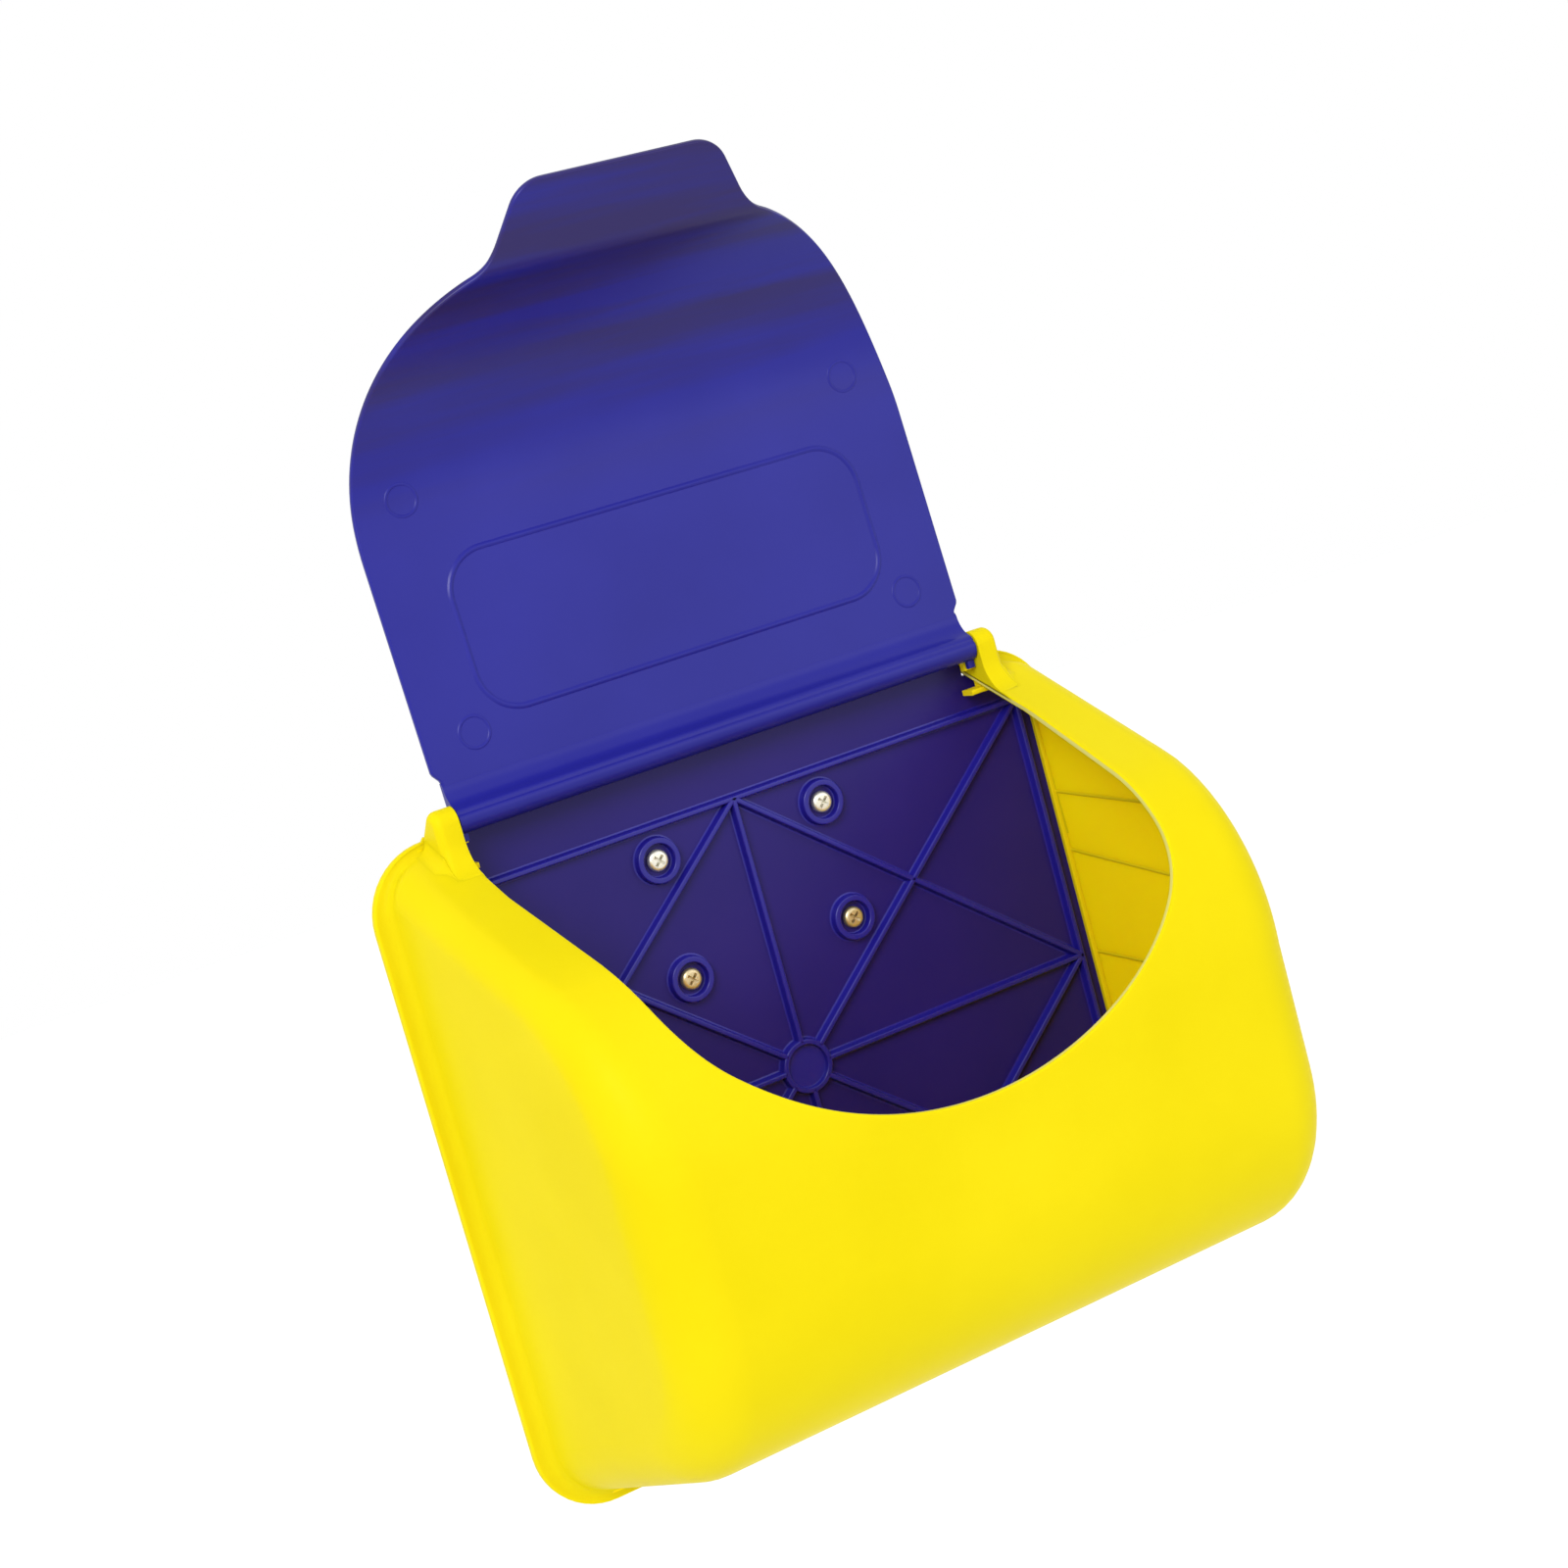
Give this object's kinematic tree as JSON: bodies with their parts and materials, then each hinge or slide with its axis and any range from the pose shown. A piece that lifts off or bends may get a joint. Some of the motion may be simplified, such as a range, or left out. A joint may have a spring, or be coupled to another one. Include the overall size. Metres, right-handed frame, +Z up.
{
  "type": "bait station",
  "caption": "Wall-hung bait station: tapered hood with a scooped mouth, ribbed back plate with pan-head wall screws, and a curled lid that swings up on stub pins.",
  "frame": {"origin": "centre of the four wall screws, on the wall plane", "axes": "+X right and +Z up as the station hangs, +Y into the wall, so the mouth faces -Y"},
  "size_m": [0.253, 0.148, 0.4025],
  "materials": {
    "hood_plastic": "satin moulded polypropylene, bright yellow",
    "plate_plastic": "satin moulded polypropylene, dark violet blue",
    "lid_plastic": "satin moulded polypropylene, royal blue",
    "zinc_screw": "bright zinc plated steel",
    "yellow_zinc_screw": "yellow zinc plated steel"
  },
  "bodies": {
    "station": {"front_shell": "hood_plastic", "back_plate": "plate_plastic", "upper_screws": "zinc_screw", "lower_screws": "yellow_zinc_screw"},
    "lid": {"lid": "lid_plastic"}
  },
  "joints": [
    {"name": "lid_hinge", "type": "hinge", "parent": "station", "child": "lid", "pos_m": [0, -0.012, 0.054], "axis": [1, 0, 0], "range_deg": [0, 124]}
  ]
}
